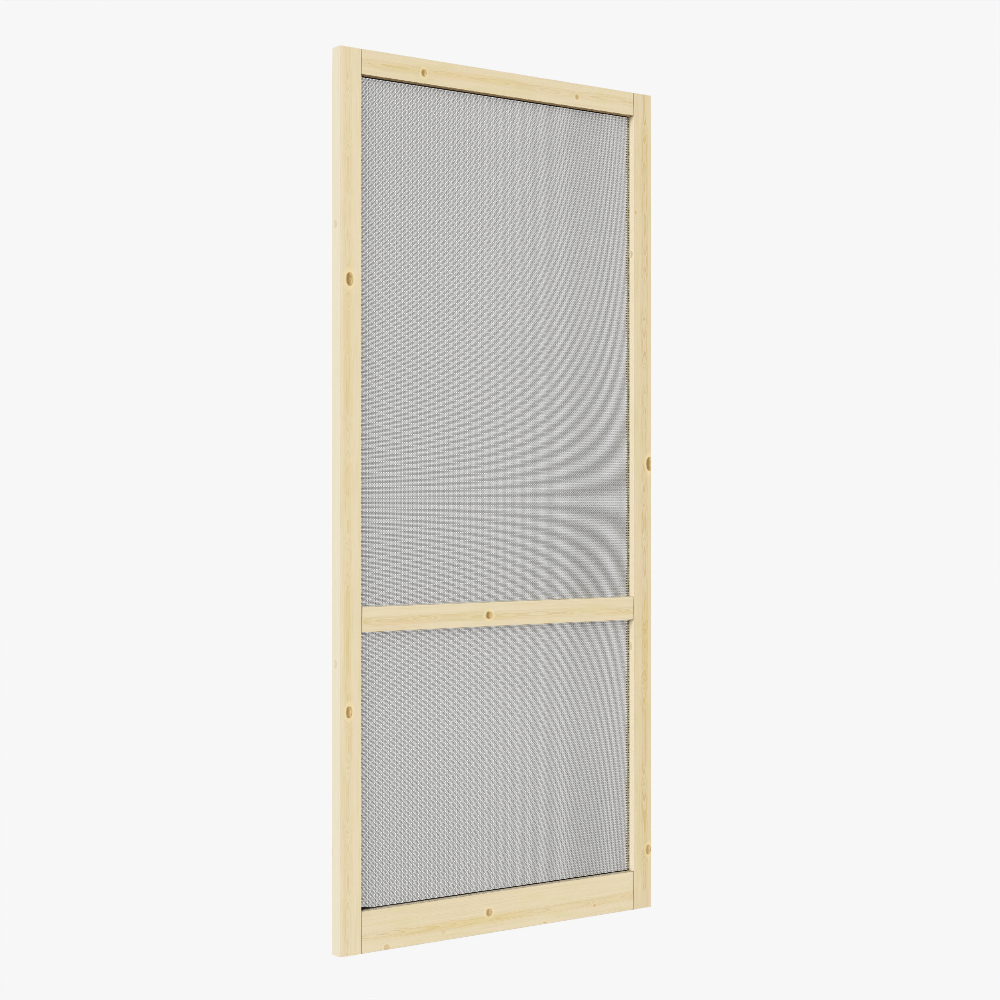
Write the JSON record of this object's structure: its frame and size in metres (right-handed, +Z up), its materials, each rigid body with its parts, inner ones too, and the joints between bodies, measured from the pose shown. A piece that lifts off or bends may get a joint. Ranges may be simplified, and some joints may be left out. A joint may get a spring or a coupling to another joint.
{
  "type": "wooden screen door leaf",
  "caption": "Pine screen door leaf: two stiles and three rails round an upper and a lower insect screen, held in rebates by mitred wooden beads.",
  "frame": {"origin": "on the outer edge of the left stile, where the hinges are fixed: at the foot of the leaf, halfway through its thickness", "axes": "+X across the leaf from the hinge edge, +Y from the front face to the back face with the beads, +Z up"},
  "size_m": [0.914, 0.035, 2.032],
  "materials": {
    "pine_stile": "planed and sanded, unfinished",
    "pine_rail": "planed and sanded, unfinished",
    "pine_bead": "moulded, unfinished",
    "insect_screen": "woven coated yarn, charcoal"
  },
  "bodies": {
    "root": {"left_stile": "pine_stile", "right_stile": "pine_stile", "top_rail": "pine_rail", "middle_rail": "pine_rail", "bottom_rail": "pine_rail", "upper_screen": "insect_screen", "lower_screen": "insect_screen", "upper_left_bead": "pine_bead", "upper_right_bead": "pine_bead", "upper_top_bead": "pine_bead", "upper_bottom_bead": "pine_bead", "lower_left_bead": "pine_bead", "lower_right_bead": "pine_bead", "lower_top_bead": "pine_bead", "lower_bottom_bead": "pine_bead"}
  },
  "joints": []
}
